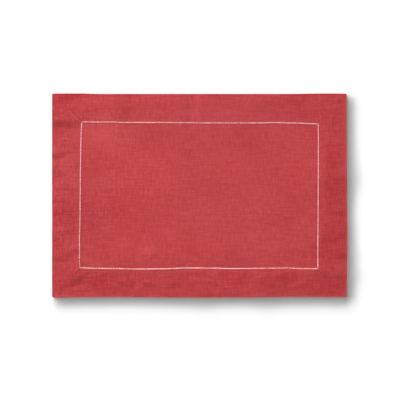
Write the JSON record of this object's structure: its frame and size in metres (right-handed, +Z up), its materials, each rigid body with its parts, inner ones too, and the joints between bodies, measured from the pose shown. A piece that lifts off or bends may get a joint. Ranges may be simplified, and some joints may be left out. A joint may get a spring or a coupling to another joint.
{
  "type": "hemstitched fabric placemat",
  "caption": "Rectangular linen placemat, with a wide mitred hem turned to the back and a drawn-thread hemstitch band round its centre panel.",
  "frame": {"origin": "on the table, under the middle of the mat's outline", "axes": "+X along the mat's long side, +Y across it towards the back edge, +Z up out of the mat's upper face"},
  "size_m": [0.508, 0.3514, 0.0031],
  "materials": {
    "linen": "matte"
  },
  "bodies": {
    "root": {"placemat_cloth": "linen"}
  },
  "joints": []
}
